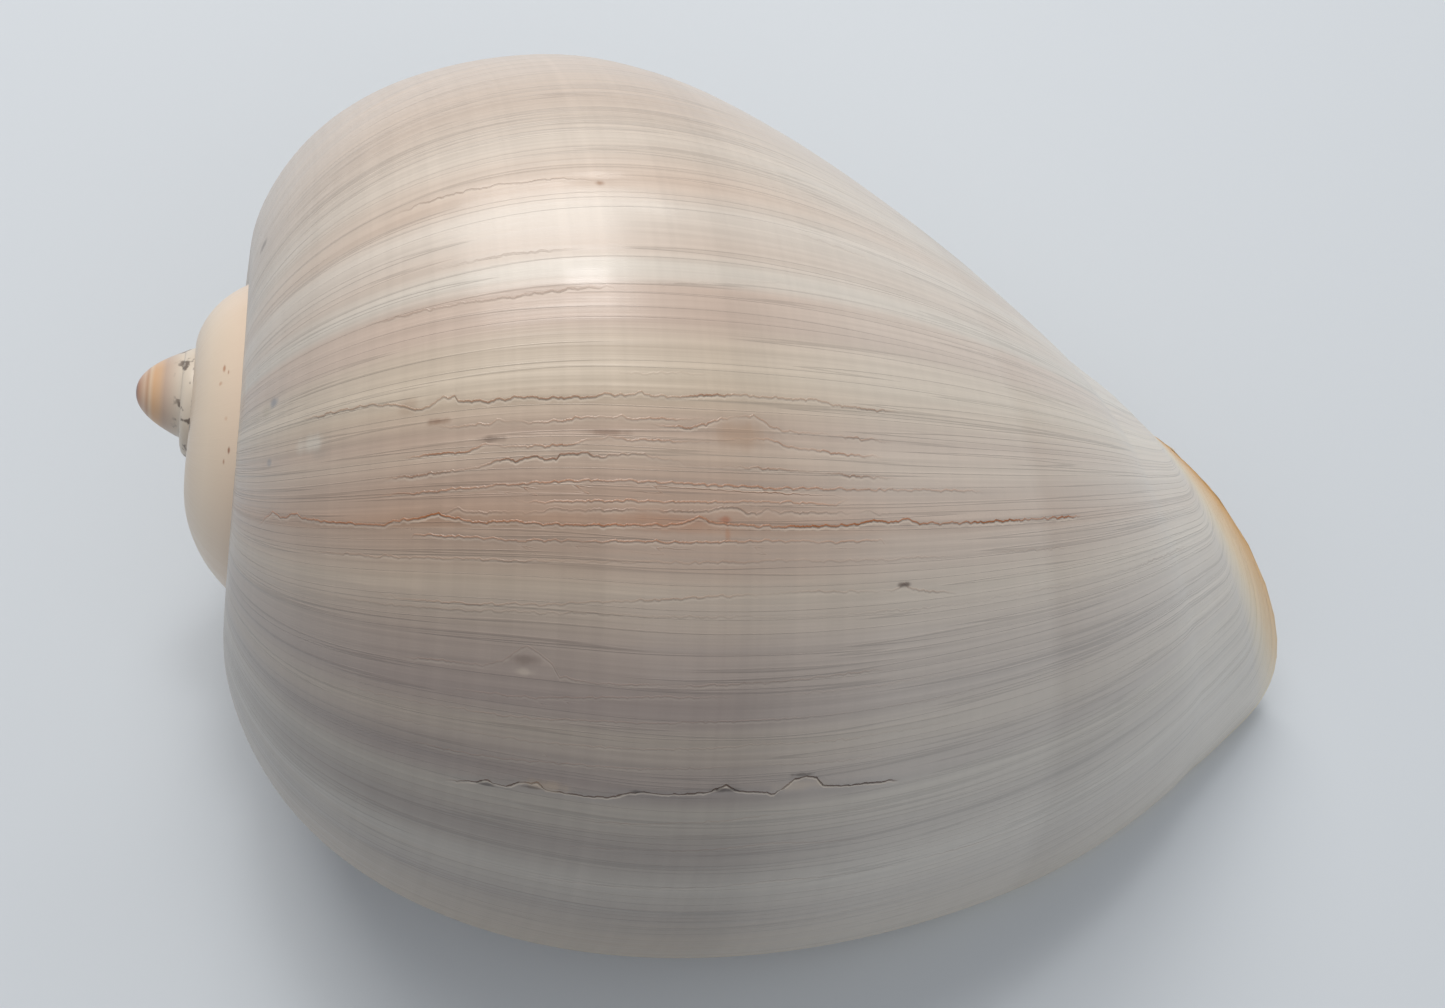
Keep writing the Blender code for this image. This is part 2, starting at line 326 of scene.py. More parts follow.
# %% The relief of the scars
relief = np.zeros_like(growth)
for name, place, strength, rust, line in SCARS:
    relief += step_relief(*step_from(place, line), strength)
print("scars", len(SCARS), "up to", round(relief.max(), 2), "mm high")

# %% [markdown]
# A softer step comes and goes along its length, so its strength is a broken wave. Only the part
# within LINE_NEAR of the step is kept, or the lines of two neighbours would meet in a jagged seam.

# %% The softer steps, with the distance to the nearest one
LINE_NEAR = 0.9
LINE_FADE = 0.3
LINE_WAVER = 0.25
BROKEN_MEAN, BROKEN_SIZE = 0.65, 0.7
BROKEN_RATE, BROKEN_SHIFT = 0.7, 3
step_distance = np.full_like(growth, FAR_AWAY)
step_strength = np.zeros_like(growth)
step_rust = np.zeros_like(growth)
for place, strength, rust, line in SOFT_STEPS:
    distance, ends = step_from(place, line)
    relief += step_relief(distance, ends, strength)
    broken = waver(along * BROKEN_RATE + BROKEN_SHIFT, rng)
    broken = np.clip(BROKEN_MEAN + BROKEN_SIZE * broken, 0.0, 1)
    distance = distance - LINE_WAVER * waver(along, rng)
    nearer = (np.abs(distance) < np.abs(step_distance)) & (ends > 0)
    near = np.clip((LINE_NEAR - np.abs(distance)) / LINE_FADE, 0, 1)
    step_distance = np.where(nearer, distance, step_distance)
    step_strength = np.where(nearer, ends * broken * strength * near, step_strength)
    step_rust = np.where(nearer, rust, step_rust)
print("softer steps", len(SOFT_STEPS))

# %% [markdown]
# Between the steps the surface has low even ridges, all along the growth lines. They are noise of the
# growth angle alone, in two widths, and fade out at the suture and on the early whorls.

# %% Low ridges: width as a growth angle, and height in mm
RIDGES = [(0.055, 0.030), (0.023, 0.014)]
RIDGES_FROM, RIDGES_FADE = -5.2, 0.6
SUTURE_SMOOTH = 0.08
NOISE_VALUES = 4096


def smooth_noise(at, size, rng):
    """Even noise along a line, with a new value each size."""
    place = at / size
    whole = np.floor(place).astype(int)
    t = place - whole
    values = rng.normal(size=NOISE_VALUES)
    t = t * t * (3 - 2 * t)
    return values[whole % NOISE_VALUES] * (1 - t) + values[(whole + 1) % NOISE_VALUES] * t


ridges = sum(height * smooth_noise(growth, width, rng) for width, height in RIDGES)
ridges *= np.clip(along / SUTURE_SMOOTH, 0, 1) * np.clip((growth - RIDGES_FROM) / RIDGES_FADE, 0.0, 1)
relief += ridges
print("ridges", round(float(np.abs(ridges).max()), 3), "mm at most")

# %% [markdown]
# A shell that has lived is chipped. The pits and chips are small rounded hollows, each at its own
# place. The long crease near the front end and the swollen band beyond it run round the whorl.

# %% Pits: growth angle, station, size and depth in mm; a negative depth is a raised speck
PITS = [
    (-1.092, 0.301, 1.3, 0.55), (-1.512, 0.152, 2.2, 0.25), (-1.684, 0.106, 1.8, 0.25),
    (-1.224, 0.545, 0.9, 0.35), (-2.024, 0.357, 0.9, 0.3), (-1.158, 0.457, 0.5, 0.3),
    (-1.97, 0.483, 0.5, 0.3), (-1.196, 0.200, 1.0, -0.25), (-1.198, 0.228, 1.2, -0.25),
]
PIT_STRETCH = 0.7
for place, station, size, depth in PITS:
    across = (growth - place) * radius
    down = (along - station) * PROFILE_LENGTH
    relief -= depth * np.exp(-(across ** 2 + (down * PIT_STRETCH) ** 2) / size ** 2)
print("pits and specks", len(PITS))

# %% The crease and the band at the front end: station, width and height in mm
CREASE = (0.852, 0.012, -0.35)
FRONT_SWELLING = (0.925, 0.035, 0.9)
GROWN_FROM, GROWN_LENGTH = -4, 2
grown = np.clip((growth - GROWN_FROM) / GROWN_LENGTH, 0, 1)
for place, width, height in (CREASE, FRONT_SWELLING):
    relief += height * np.exp(-((along - place) / width) ** 2) * grown
print("relief from", round(relief.min(), 2), "to", round(relief.max(), 2), "mm")

# %% [markdown]
# ## Wall
# The wall is about as thick as a plate. A Solidify modifier would give one thickness everywhere. The
# real wall is thinnest at the lip, where it is rounded over, and thickest at the pillar, which
# carries a few slanting folds on its inner side, so the thickness is worked out for each point.

# %% Thickness of the wall in mm
WALL = 2.8
PILLAR = 6.5
PILLAR_START = 0.86
FOLDS = 3
FOLD_HEIGHT = 1.6
YOUNG_LENGTH = 1.3
THINNER_BACK = 0.09
THINNEST = 0.55
past = np.clip((s - PILLAR_START) / (1 - PILLAR_START), 0, 1)
thick = WALL + (PILLAR - WALL) * past ** 1.5
thick += FOLD_HEIGHT * np.sin(np.pi * FOLDS * past) ** 2 * (past > 0) * (past < 1)
young = np.clip(1 + base / YOUNG_LENGTH, 0, 1) ** 0.5
thick = thick[None] * (1 - young) + np.minimum(thick, WALL)[None] * young
thick = thick * np.clip(1 + THINNER_BACK * (base + TURN), THINNEST, 1)
print("wall from", round(thick.min(), 2), "to", round(thick.max(), 2), "mm")

# %% [markdown]
# The outer and the inner side stand half a thickness from the middle of the wall. Towards the lip
# both come together on a quarter circle. The wall's first columns sink into the root of the pillar.


# %% The outer and inner sides
def normals(points):
    """Unit normals of a grid of points that face away from the coiling axis."""
    normal = np.cross(np.gradient(points, axis=0), np.gradient(points, axis=1))
    normal /= np.linalg.norm(normal, axis=-1, keepdims=True) + 1e-12
    half = points.shape[1] // 2
    outward = (points[:, half, 1:] * normal[:, half, 1:]).sum(-1)
    return normal * np.where(outward < 0, -1, 1)[:, None, None]


ROOT = 0.7
ROOT_DEPTH = 3.0
normal = normals(outer)
normal[-LIP_COLUMNS:] = normal[-LIP_COLUMNS - 1]
rounding = np.ones(len(base))
rounding[-LIP_COLUMNS:] = np.cos(lip_turn)
rounding = rounding[:, None]
sink = ROOT_DEPTH * np.clip(1 - (base - WALL_FROM) / ROOT, 0, 1) ** 2
middle = outer - normal * (sink + thick / 2)[..., None]
outer = middle + normal * (thick / 2 * rounding + relief * rounding)[..., None]
picked = np.unique(np.linspace(0, OUTSIDE_ROWS - 1, INSIDE_ROWS).round().astype(int))[::-1]
inner = (middle - normal * (thick / 2 * rounding)[..., None])[:, picked]
print("inside points", inner.shape)

# %% [markdown]
# Along the pillar and the front notch the wall's edge is closed by one more row of points that
# swells out from it. The swelling is low near the lip, where the edge is thin.

# %% The rounded edge, and the closed ring of each column
EDGE_SWELLING = 0.45
LIP_SWELLING = 0.10
rim = np.gradient(outer[:, -1], axis=0)
rim /= np.linalg.norm(rim, axis=-1, keepdims=True)
bulge = outer[:, -1] - outer[:, -2]
bulge -= (bulge * rim).sum(-1, keepdims=True) * rim
bulge /= np.linalg.norm(bulge, axis=-1, keepdims=True)
bulge_size = EDGE_SWELLING * (1 - young) + LIP_SWELLING * young
end = (outer[:, -1] + inner[:, 0]) / 2 + bulge * thick[:, -1:] * bulge_size * rounding
rings = np.concatenate([outer, end[:, None], inner], axis=1)
print("ring points", rings.shape)

# %% [markdown]
# ## First whorl
# The shell began as a small smooth cap. It is a blunt cone here, a little off the coiling axis, and
# widens behind into the narrow second whorl. It is turned like a pot: each row is a circle with its
# own place, radius and lift.

# %% The points of the first whorl and of the narrow second one
NUB_START = -1.7
NUB_LENGTH = 8.3
NUB_RADIUS = 8.1
NUB_LIFT = 2.2
NUB_SIDES = 72
DOME_ROWS = 24
DOME_START = 0.02
BLUNTNESS, ROUNDNESS = 1.75, 0.80
BASE_STEP = 0.05
SECOND_WHORL = [(6.65, 8.25, 2.0), (6.6, 8.9, 1.4), (6.9, 9.5, 1.0), (7.4, 9.9, 0.8),
                (8.3, 10.3, 0.7), (11, 10.8, 0.4), (15, 10.8, 0.3)]
t = np.linspace(DOME_START, 1, DOME_ROWS)
dome = np.stack([NUB_START + NUB_LENGTH * t ** BLUNTNESS, NUB_RADIUS * t ** ROUNDNESS,
                 NUB_LIFT + 0 * t], -1)
nub_x, nub_radius, nub_lift = np.concatenate([dome, SECOND_WHORL]).T[:, :, None]
NUB_ROWS = len(nub_x)
around = np.linspace(0, TURN, NUB_SIDES, endpoint=False)[None]
nub = np.stack([nub_x + 0 * around, nub_radius * np.sin(around),
                nub_lift + nub_radius * np.cos(around)], -1)
nub_place = np.concatenate([t, 1 + BASE_STEP * np.arange(1, len(SECOND_WHORL) + 1)])[:, None]
print("first whorl points", nub.shape)

# %% [markdown]
# ## Laying it down
# The shell lies on its lip and on the swelling of the whorl across the mouth, front end down. It is
# turned once and set on the floor in the middle of the CAD part's box. The few points that would go
# below the floor are laid flat on it, as a real shell is worn flat where it rests.

# %% From the shell's own frame to the floor
LAY = np.array(Matrix.Rotation(LAY_TIP, 3, "Y") @ Matrix.Rotation(LAY_TURN, 3, "X"))
FLOOR_FLAT = 0.6
laid = np.concatenate([rings.reshape(-1, 3), nub.reshape(-1, 3)]) @ LAY.T
cad_centre = (np.array(cad_low) + np.array(cad_high)) / 2 / MM
lowest, highest = laid.min(0), laid.max(0)
offset = cad_centre - (lowest + highest) / 2
offset[2] = -lowest[2] - FLOOR_FLAT
print("size", (highest - lowest).round(1), "offset", offset.round(2), "mm")


def on_floor(points):
    placed = points @ LAY.T + offset
    placed[..., 2] = np.maximum(placed[..., 2], 0)
    return placed * MM


# %% [markdown]
# ## One mesh
# The wall is one grid that closes on itself through the inside, and the first whorl is a second grid.
# Both go into one mesh, because the shell grew as one piece.


# %% The faces of both grids
def grid_faces(rows, columns, start):
    """Faces between the points of a grid, as point numbers; the last column joins the first."""
    i, j = np.meshgrid(np.arange(rows - 1), np.arange(columns), indexing="ij")
    k = (j + 1) % columns
    corners = [i * columns + j, i * columns + k, (i + 1) * columns + k, (i + 1) * columns + j]
    return np.stack(corners, -1) + start


OUTSIDE, INSIDE, FIRST = 0, 1, 2
wall_faces = grid_faces(rings.shape[0], rings.shape[1], 0)
wall_kind = np.full(wall_faces.shape[:2], INSIDE)
wall_kind[:, :OUTSIDE_ROWS - 1] = OUTSIDE
nub_faces = grid_faces(NUB_ROWS, NUB_SIDES, rings.shape[0] * rings.shape[1])
points = np.concatenate([on_floor(rings).reshape(-1, 3), on_floor(nub).reshape(-1, 3)])
faces = np.concatenate([wall_faces.reshape(-1, 4), nub_faces.reshape(-1, 4)])
kinds = np.concatenate([wall_kind.ravel(), np.full(nub_faces.shape[0] * nub_faces.shape[1], FIRST)])
print("faces", len(faces))

# %% The mesh and its object
mesh = bpy.data.meshes.new("melon_shell")
mesh.from_pydata(points.tolist(), [], faces.tolist())
mesh.polygons.foreach_set("use_smooth", np.ones(len(faces), bool))
mesh.update()
shell = bpy.data.objects.new("melon_shell", mesh)
bpy.context.scene.collection.objects.link(shell)

# %% [markdown]
# The materials have to know where on the shell they are. Each point therefore keeps its growth angle,
# its station and the other numbers above as named attributes, which a shader can read.


# %% Numbers kept on the mesh
def keep_on_mesh(name, grid, nub_value):
    """Stores a value for each point: the outside's own value, and that of the nearest row inside."""
    full = np.concatenate([grid, grid[:, -1:], grid[:, picked]], axis=1)
    nub_values = np.broadcast_to(nub_value, (NUB_ROWS, NUB_SIDES))
    values = np.concatenate([full.ravel(), nub_values.ravel()])
    layer = mesh.attributes.new(name, "FLOAT", "POINT")
    layer.data.foreach_set("value", values.astype(np.float32))


NUB_MEAN_RADIUS = 8.0
keep_on_mesh("growth", growth, around)
keep_on_mesh("along", along, nub_place)
keep_on_mesh("step_distance", step_distance, FAR_AWAY)
keep_on_mesh("step_strength", step_strength, 0.0)
keep_on_mesh("step_rust", step_rust, 0.0)
keep_on_mesh("radius", radius, NUB_MEAN_RADIUS)
keep_on_mesh("from_lip", -base * radius, FAR_AWAY)
print("kept on the mesh:", [name for name in ("growth", "along", "radius", "from_lip")
                            if name in mesh.attributes])

# %% [markdown]
# ## Materials
# The outside is bare shell with a soft gloss. Its colour changes with growth, in bands of cream, tan
# and mauve grey, and a little along the whorl. It could be painted on an image, but that needs an
# unwrapped mesh and blurs when the camera comes near. Here nodes work the colour out from the
# numbers kept on the mesh, so every band follows the growth lines by itself. Helpers come first.


# %% Helpers that add nodes
def srgb(r, g, b):
    """A colour given as 0 to 255 screen values."""
    def channel(c):
        c = c / 255
        return c / 12.92 if c <= 0.04045 else ((c + 0.055) / 1.055) ** 2.4
    return (channel(r), channel(g), channel(b), 1.0)


def grey(value):
    return (value, value, value, 1.0)


def node(tree, kind, place, **settings):
    """A new node at a place in the node editor, with its settings."""
    made = tree.nodes.new(kind)
    made.location = place
    for name, value in settings.items():
        setattr(made, name, value)
    return made


def feed(tree, socket, value):
    """Gives a socket a plain value, or a link from another socket."""
    if isinstance(value, (int, float, tuple)):
        socket.default_value = value
    else:
        tree.links.new(value, socket)


def math_node(tree, operation, place, *values, clamp=False):
    made = node(tree, "ShaderNodeMath", place, operation=operation, use_clamp=clamp)
    for socket, value in zip(made.inputs, values):
        feed(tree, socket, value)
    return made.outputs[0]


def stored(tree, name, place):
    """A number kept on the mesh."""
    return node(tree, "ShaderNodeAttribute", place, attribute_name=name).outputs["Fac"]


# %% Helpers that map and mix
MIX_FACTOR, MIX_FIRST, MIX_SECOND, MIX_RESULT = 0, 6, 7, 2


def map_range(tree, value, low, high, to_low, to_high, place, kind="SMOOTHSTEP"):
    made = node(tree, "ShaderNodeMapRange", place, interpolation_type=kind)
    for socket, setting in zip(made.inputs, (value, low, high, to_low, to_high)):
        feed(tree, socket, setting)
    return made.outputs[0]


def ramp(tree, value, stops, place):
    """A colour for each value; stops are pairs of place and colour, in order."""
    made = node(tree, "ShaderNodeValToRGB", place)
    elements = made.color_ramp.elements
    for position, colour in stops[2:]:
        elements.new(position)
    for element, (position, colour) in zip(elements, stops):
        element.position = position
        element.color = colour
    feed(tree, made.inputs["Fac"], value)
    return made.outputs["Color"]


def mix(tree, kind, amount, first, second, place):
    """Mixes two colours; amount and colours may be values or sockets."""
    made = node(tree, "ShaderNodeMix", place, data_type="RGBA", blend_type=kind)
    for number, value in ((MIX_FACTOR, amount), (MIX_FIRST, first), (MIX_SECOND, second)):
        feed(tree, made.inputs[number], value)
    return made.outputs[MIX_RESULT]


def shade(tree, colour, tone, place):
    """Multiplies a colour by a brightness."""
    same = node(tree, "ShaderNodeCombineColor", (place[0] - 200, place[1] - 100))
    for socket in same.inputs:
        feed(tree, socket, tone)
    return mix(tree, "MULTIPLY", 1.0, colour, same.outputs[0], place)


# %% Helpers for noise and for node groups
NOISE_RANGE = 0.3, 0.7


def surface_noise(tree, first, second, detail, place):
    """Flat noise over two values, nearly all in NOISE_RANGE; more detail adds finer layers."""
    at = node(tree, "ShaderNodeCombineXYZ", place)
    feed(tree, at.inputs[0], first)
    feed(tree, at.inputs[1], second)
    noise = node(tree, "ShaderNodeTexNoise", (place[0] + 200, place[1]), noise_dimensions="2D")
    noise.inputs["Scale"].default_value = 1.0
    noise.inputs["Detail"].default_value = detail
    feed(tree, noise.inputs["Vector"], at.outputs[0])
    return noise.outputs["Fac"]


def number_group(name, inputs, outputs):
    """A node group with sockets for numbers, and its input and output nodes."""
    group = bpy.data.node_groups.new(name, "ShaderNodeTree")
    for socket in inputs:
        group.interface.new_socket(socket, in_out="INPUT", socket_type="NodeSocketFloat")
    for socket in outputs:
        group.interface.new_socket(socket, in_out="OUTPUT", socket_type="NodeSocketFloat")
    return group, node(group, "NodeGroupInput", (-900, 0)), node(group, "NodeGroupOutput", (900, 0))


def use_group(tree, group, place, **values):
    """Places a group and feeds its inputs by name; gives back its outputs."""
    made = node(tree, "ShaderNodeGroup", place, node_tree=group)
    for name, value in values.items():
        feed(tree, made.inputs[name], value)
    return made.outputs


# %% [markdown]
# ### Growth lines
# Hundreds of fine lines lie along the former lips, outside and, fainter, inside. Noise that changes
# fast across growth and slowly along it gives them in three widths: Coarse and Fine as soft tones,
# Hair as thin separate lines, where the noise passes through its middle value. Two materials use
# them, so they are a node group.

# %% The growth-line group
LINE_WIDTHS = [("Coarse", 14.0, 2.0), ("Fine", 80.0, 3.0), ("Hair", 36.0, 1.4)]
HAIR_CORE, HAIR_EDGE = 0.004, 0.028
lines_group, group_in, group_out = number_group(
    "growth_lines", ("Growth", "Along", "Fineness"), [name for name, across, down in LINE_WIDTHS])
scaled = math_node(lines_group, "MULTIPLY", (-700, 0),
                   group_in.outputs["Growth"], group_in.outputs["Fineness"])
for row, (name, across, down) in enumerate(LINE_WIDTHS):
    y = -250 * row
    value = surface_noise(
        lines_group, math_node(lines_group, "MULTIPLY", (-500, y), scaled, across),
        math_node(lines_group, "MULTIPLY", (-500, y - 120), group_in.outputs["Along"], down),
        2.0, (-300, y))
    if name == "Hair":
        value = math_node(lines_group, "SUBTRACT", (50, y), value, 0.5)
        value = math_node(lines_group, "ABSOLUTE", (200, y), value)
        value = map_range(lines_group, value, HAIR_CORE, HAIR_EDGE, 1.0, 0.0, (350, y))
    feed(lines_group, group_out.inputs[name], value)
print("growth lines in", len(LINE_WIDTHS), "widths")


# %% [markdown]
# ### Steps and scars up close
# A scar is a step with a sharp profile: the older edge, the gap at its foot, and the newer edge that rises
# out of it. A group gives the height, the dark line in the gap, which is painted shadow of the step and
# partly brown stain, and the pale rim of the newer edge, which is a painted highlight, all from the distance
# to the scar. A curve holds the profile, so its shape is easy to change.

# %% The profile across a scar: distance in mm, and height with 0.5 as the level surface
SCAR_SPAN = 3.0
SCAR_PROFILE = [(-3.0, 0.50), (-1.2, 0.56), (-0.35, 0.72), (-0.06, 0.80), (0.10, 0.20), (0.22, 0.22),
                (0.42, 0.66), (0.75, 0.60), (1.8, 0.52), (3.0, 0.50)]
# Masks across it, for the painted shadow in the gap and the painted highlight on the newer edge: the middle,
# half the width and the soft edge in mm
SCAR_MASKS = [("Line", 0.12, 0.04, 0.17), ("Edge", 0.50, 0.06, 0.30)]


def set_curve(curve_map, points):
    """Points of a curve, in order, joined by straight pieces."""
    for x, y in points[2:]:
        curve_map.points.new(x, y)
    for point, (x, y) in zip(curve_map.points, points):
        point.location = (x, y)
        point.handle_type = "VECTOR"


# %% The scar group
scar_group, group_in, group_out = number_group(
    "growth_scar", ("Distance", "Strength"), ("Height", "Line", "Edge"))
profile_at = map_range(scar_group, group_in.outputs["Distance"], -SCAR_SPAN, SCAR_SPAN, 0.0, 1.0,
                       (-600, 200), kind="LINEAR")
profile_curve = node(scar_group, "ShaderNodeFloatCurve", (-400, 200))
set_curve(profile_curve.mapping.curves[0],
          [((place + SCAR_SPAN) / (2 * SCAR_SPAN), level) for place, level in SCAR_PROFILE])
profile_curve.mapping.update()
feed(scar_group, profile_curve.inputs["Value"], profile_at)
lifted = math_node(scar_group, "SUBTRACT", (0, 200), profile_curve.outputs[0], 0.5)
lifted = math_node(scar_group, "MULTIPLY", (200, 200), lifted, group_in.outputs["Strength"])
feed(scar_group, group_out.inputs["Height"], lifted)
for name, centre, half, soft in SCAR_MASKS:
    away = math_node(scar_group, "SUBTRACT", (-600, -200), group_in.outputs["Distance"], centre)
    away = math_node(scar_group, "ABSOLUTE", (-400, -200), away)
    mask = map_range(scar_group, away, half, half + soft, 1.0, 0.0, (-200, -200))
    mask = math_node(scar_group, "MULTIPLY", (200, -200), mask, group_in.outputs["Strength"],
                     clamp=True)
    feed(scar_group, group_out.inputs[name], mask)
print("points across a scar", len(SCAR_PROFILE))

# %% [markdown]
# ### Bands
# The shell laid down cream, tan and grey as it grew, in bands that are each as old as a growth line.
# A colour ramp over the growth angle gives them, with its stops closer together where the bands are narrow.
# The stops began as readings of the photo down the middle of the whorl and were corrected by hand against
# renders. A second ramp makes faint tones that run round the whorl at fixed stations.
# The band colours hold painted shade as well as the shell's own bands: the stops from about growth -1.1 to
# -0.46 are darker, because that side of the whorl faces down and away from the light.

# %% The bands, with painted shade in them: growth angle and screen colour, from the far side to the lip
BANDS_WITH_SHADE = [
    (-3.30, (205, 188, 172)), (-2.55, (206, 191, 178)), (-2.30, (199, 183, 169)), (-2.14, (209, 197, 184)),
    (-2.02, (203, 184, 168)), (-1.95, (214, 203, 191)), (-1.86, (203, 187, 173)), (-1.82, (211, 202, 190)),
    (-1.795, (207, 197, 185)), (-1.775, (200, 180, 165)), (-1.70, (197, 177, 162)), (-1.665, (201, 185, 167)),
    (-1.60, (205, 190, 171)), (-1.57, (195, 177, 157)), (-1.50, (186, 164, 147)), (-1.46, (192, 172, 154)),
    (-1.41, (179, 156, 139)), (-1.352, (178, 150, 130)), (-1.342, (172, 136, 110)), (-1.330, (181, 156, 137)),
    (-1.28, (175, 153, 136)), (-1.22, (186, 170, 153)), (-1.12, (168, 153, 142)), (-1.00, (156, 143, 136)),
    (-0.94, (172, 160, 148)), (-0.84, (150, 139, 133)), (-0.79, (170, 162, 152)), (-0.68, (149, 140, 133)),
    (-0.58, (172, 165, 156)), (-0.46, (154, 145, 137)), (-0.20, (180, 167, 151)), (0.0, (196, 178, 150)),
]
BAND_FROM, BAND_TO = -3.4, 0.1
band_and_shade_stops = [((place - BAND_FROM) / (BAND_TO - BAND_FROM), srgb(*colour)) for place, colour in BANDS_WITH_SHADE]
print("bands", len(band_and_shade_stops))

# %% Faint tones along the whorl: station and brightness
TONES = [
    (0.0, 1.0), (0.13, 1.0), (0.15, 0.965), (0.17, 1.0), (0.342, 1.0), (0.35, 1.035), (0.358, 1.0),
    (0.425, 0.995), (0.433, 0.955), (0.455, 0.960), (0.463, 1.0), (0.60, 1.01), (0.655, 1.015),
    (0.675, 0.975), (0.76, 0.985), (0.85, 1.0), (1.0, 1.02),
]
BRIGHTEST = 1.05
tone_stops = [(place, grey(value / BRIGHTEST)) for place, value in TONES]
print("tones", len(tone_stops))

# %% The outside material, and the bands on it
FAINT_SHAKE = 0.05
outside = bpy.data.materials.new("shell_outside")
outside.use_nodes = True
tree = outside.node_tree
principled = tree.nodes["Principled BSDF"]
principled.location = (1500, 0)
growth_value = stored(tree, "growth", (-1500, 300))
along_value = stored(tree, "along", (-1500, 100))
radius_value = stored(tree, "radius", (-1500, -400))
lines = use_group(tree, lines_group, (-1200, -200), Growth=growth_value, Along=along_value, Fineness=1.0)
shake = math_node(tree, "MULTIPLY_ADD", (-900, 400), lines["Coarse"], FAINT_SHAKE, -FAINT_SHAKE / 2)
shaken = math_node(tree, "ADD", (-750, 400), growth_value, shake)
placed = map_range(tree, shaken, BAND_FROM, BAND_TO, 0.0, 1.0, (-600, 400), kind="LINEAR")
colour = ramp(tree, placed, band_and_shade_stops, (-400, 400))
tones = ramp(tree, along_value, tone_stops, (-400, 150))
colour = mix(tree, "MULTIPLY", 1.0, colour, tones, (-100, 350))

# %% [markdown]
# ### Weave and washes
# Faint threads cross the growth lines, so the surface looks finely woven. They are noise that changes
# fast along the whorl. Towards the front end and on the shoulder the colours are paler and greyer:
# two washes of grey, strongest at the ends of the profile. The growth lines come last, as brightness.

# %% The threads across the growth lines
THREADS_ALONG, THREADS_ACROSS, THREAD_DETAIL = 115.0, 1.2, 3.0
THREAD_TONES = 0.975, 1.02
weave = surface_noise(
    tree, math_node(tree, "MULTIPLY", (-800, 1300), along_value, THREADS_ALONG),
    math_node(tree, "MULTIPLY", (-800, 1150), growth_value, THREADS_ACROSS),
    THREAD_DETAIL, (-600, 1300))
weave_tone = map_range(tree, weave, *NOISE_RANGE, *THREAD_TONES, (-200, 1300))
colour = shade(tree, colour, weave_tone, (150, 500))

# %% The washes: station and strength
FRONT_GREY = srgb(226, 222, 214)
FRONT_WASH = [(0.0, 0), (0.42, 0), (0.54, 0.32), (0.668, 0.42), (0.684, 0.34), (0.80, 0.55),
              (0.86, 0.72), (1.0, 0.72)]
SHOULDER_GREY = srgb(186, 182, 176)
SHOULDER_WASH = [(0.0, 0.55), (0.08, 0.42), (0.16, 0.18), (0.22, 0.0), (1.0, 0)]
for wash, paint, x in ((FRONT_WASH, FRONT_GREY, 200), (SHOULDER_WASH, SHOULDER_GREY, 230)):
    mask = ramp(tree, along_value, [(place, grey(amount)) for place, amount in wash], (x - 300, 700))
    colour = mix(tree, "MIX", mask, colour, paint, (x, 400))

# %% The growth lines as brightness
FINE_TONES = 0.96, 1.04
HAIR_DARKER, HAIR_LEVEL = -0.15, 1.012
fine_tone = map_range(tree, lines["Fine"], *NOISE_RANGE, *FINE_TONES, (-600, -100))
hair_tone = math_node(tree, "MULTIPLY_ADD", (-600, -350), lines["Hair"], HAIR_DARKER, HAIR_LEVEL)
line_tone = math_node(tree, "MULTIPLY", (-400, -200), fine_tone, hair_tone)
colour = shade(tree, colour, line_tone, (260, 300))
print("nodes in the outside so far", len(tree.nodes))

# %% [markdown]
# ### Scars on the outside
# Both kinds of step now go through the scar group. A small jitter roughens every line a little, as
# broken shell is never smooth. The softer steps read their distance from the mesh.

# %% The jitter, and the softer steps
JITTER_ALONG, JITTER_ACROSS, JITTER_DETAIL = 170.0, 9.0, 2.0
JITTER_SIZE = 0.9
SOFT_GAP_SHADE_AMOUNT = 0.8
jitter_noise = surface_noise(
    tree, math_node(tree, "MULTIPLY", (-1450, -700), along_value, JITTER_ALONG),
    math_node(tree, "MULTIPLY", (-1450, -850), growth_value, JITTER_ACROSS),
    JITTER_DETAIL, (-1300, -700))
jitter = math_node(tree, "MULTIPLY_ADD", (-1000, -700), jitter_noise, JITTER_SIZE, -JITTER_SIZE / 2)


def scar(distance, strength, place):
    """One use of the scar group."""
    shaken = math_node(tree, "ADD", (place[0] - 150, place[1]), distance, jitter)
    made = use_group(tree, scar_group, place, Distance=shaken, Strength=strength)
    return made["Height"], made["Line"], made["Edge"]


# The softer steps give bump height, a dark line in the gap that is painted shadow with some stain, and a pale
# rim that is painted highlight.
scar_height, soft_gap_shade, rim_highlight = scar(stored(tree, "step_distance", (-900, -600)),
                                         stored(tree, "step_strength", (-900, -750)), (-500, -600))
gap_shade_and_stain = math_node(tree, "MULTIPLY", (-200, -600), soft_gap_shade, SOFT_GAP_SHADE_AMOUNT)
rust_line = math_node(tree, "MULTIPLY", (-200, -750), gap_shade_and_stain, stored(tree, "step_rust", (-900, -900)))

# %% [markdown]
# The strong scars are drawn by curves, finer than any mesh. Each has one RGB Curves node that reads
# the station: its red curve is the scar's line, as millimetres along growth, and its green curve is
# how strong the scar is there. The green one is drawn at random from a fixed seed, because a real
# scar comes and goes.

# %% One strong scar
OFFSET_SPAN = 5.0
STRENGTH_EVERY = 0.022
STRENGTH_MEAN, STRENGTH_SPREAD, STRENGTH_LEAST = 0.52, 0.34, 0.08
STRONG_SCAR, STRONG_LEAST = 0.9, 0.45
scar_rng = np.random.default_rng(23)


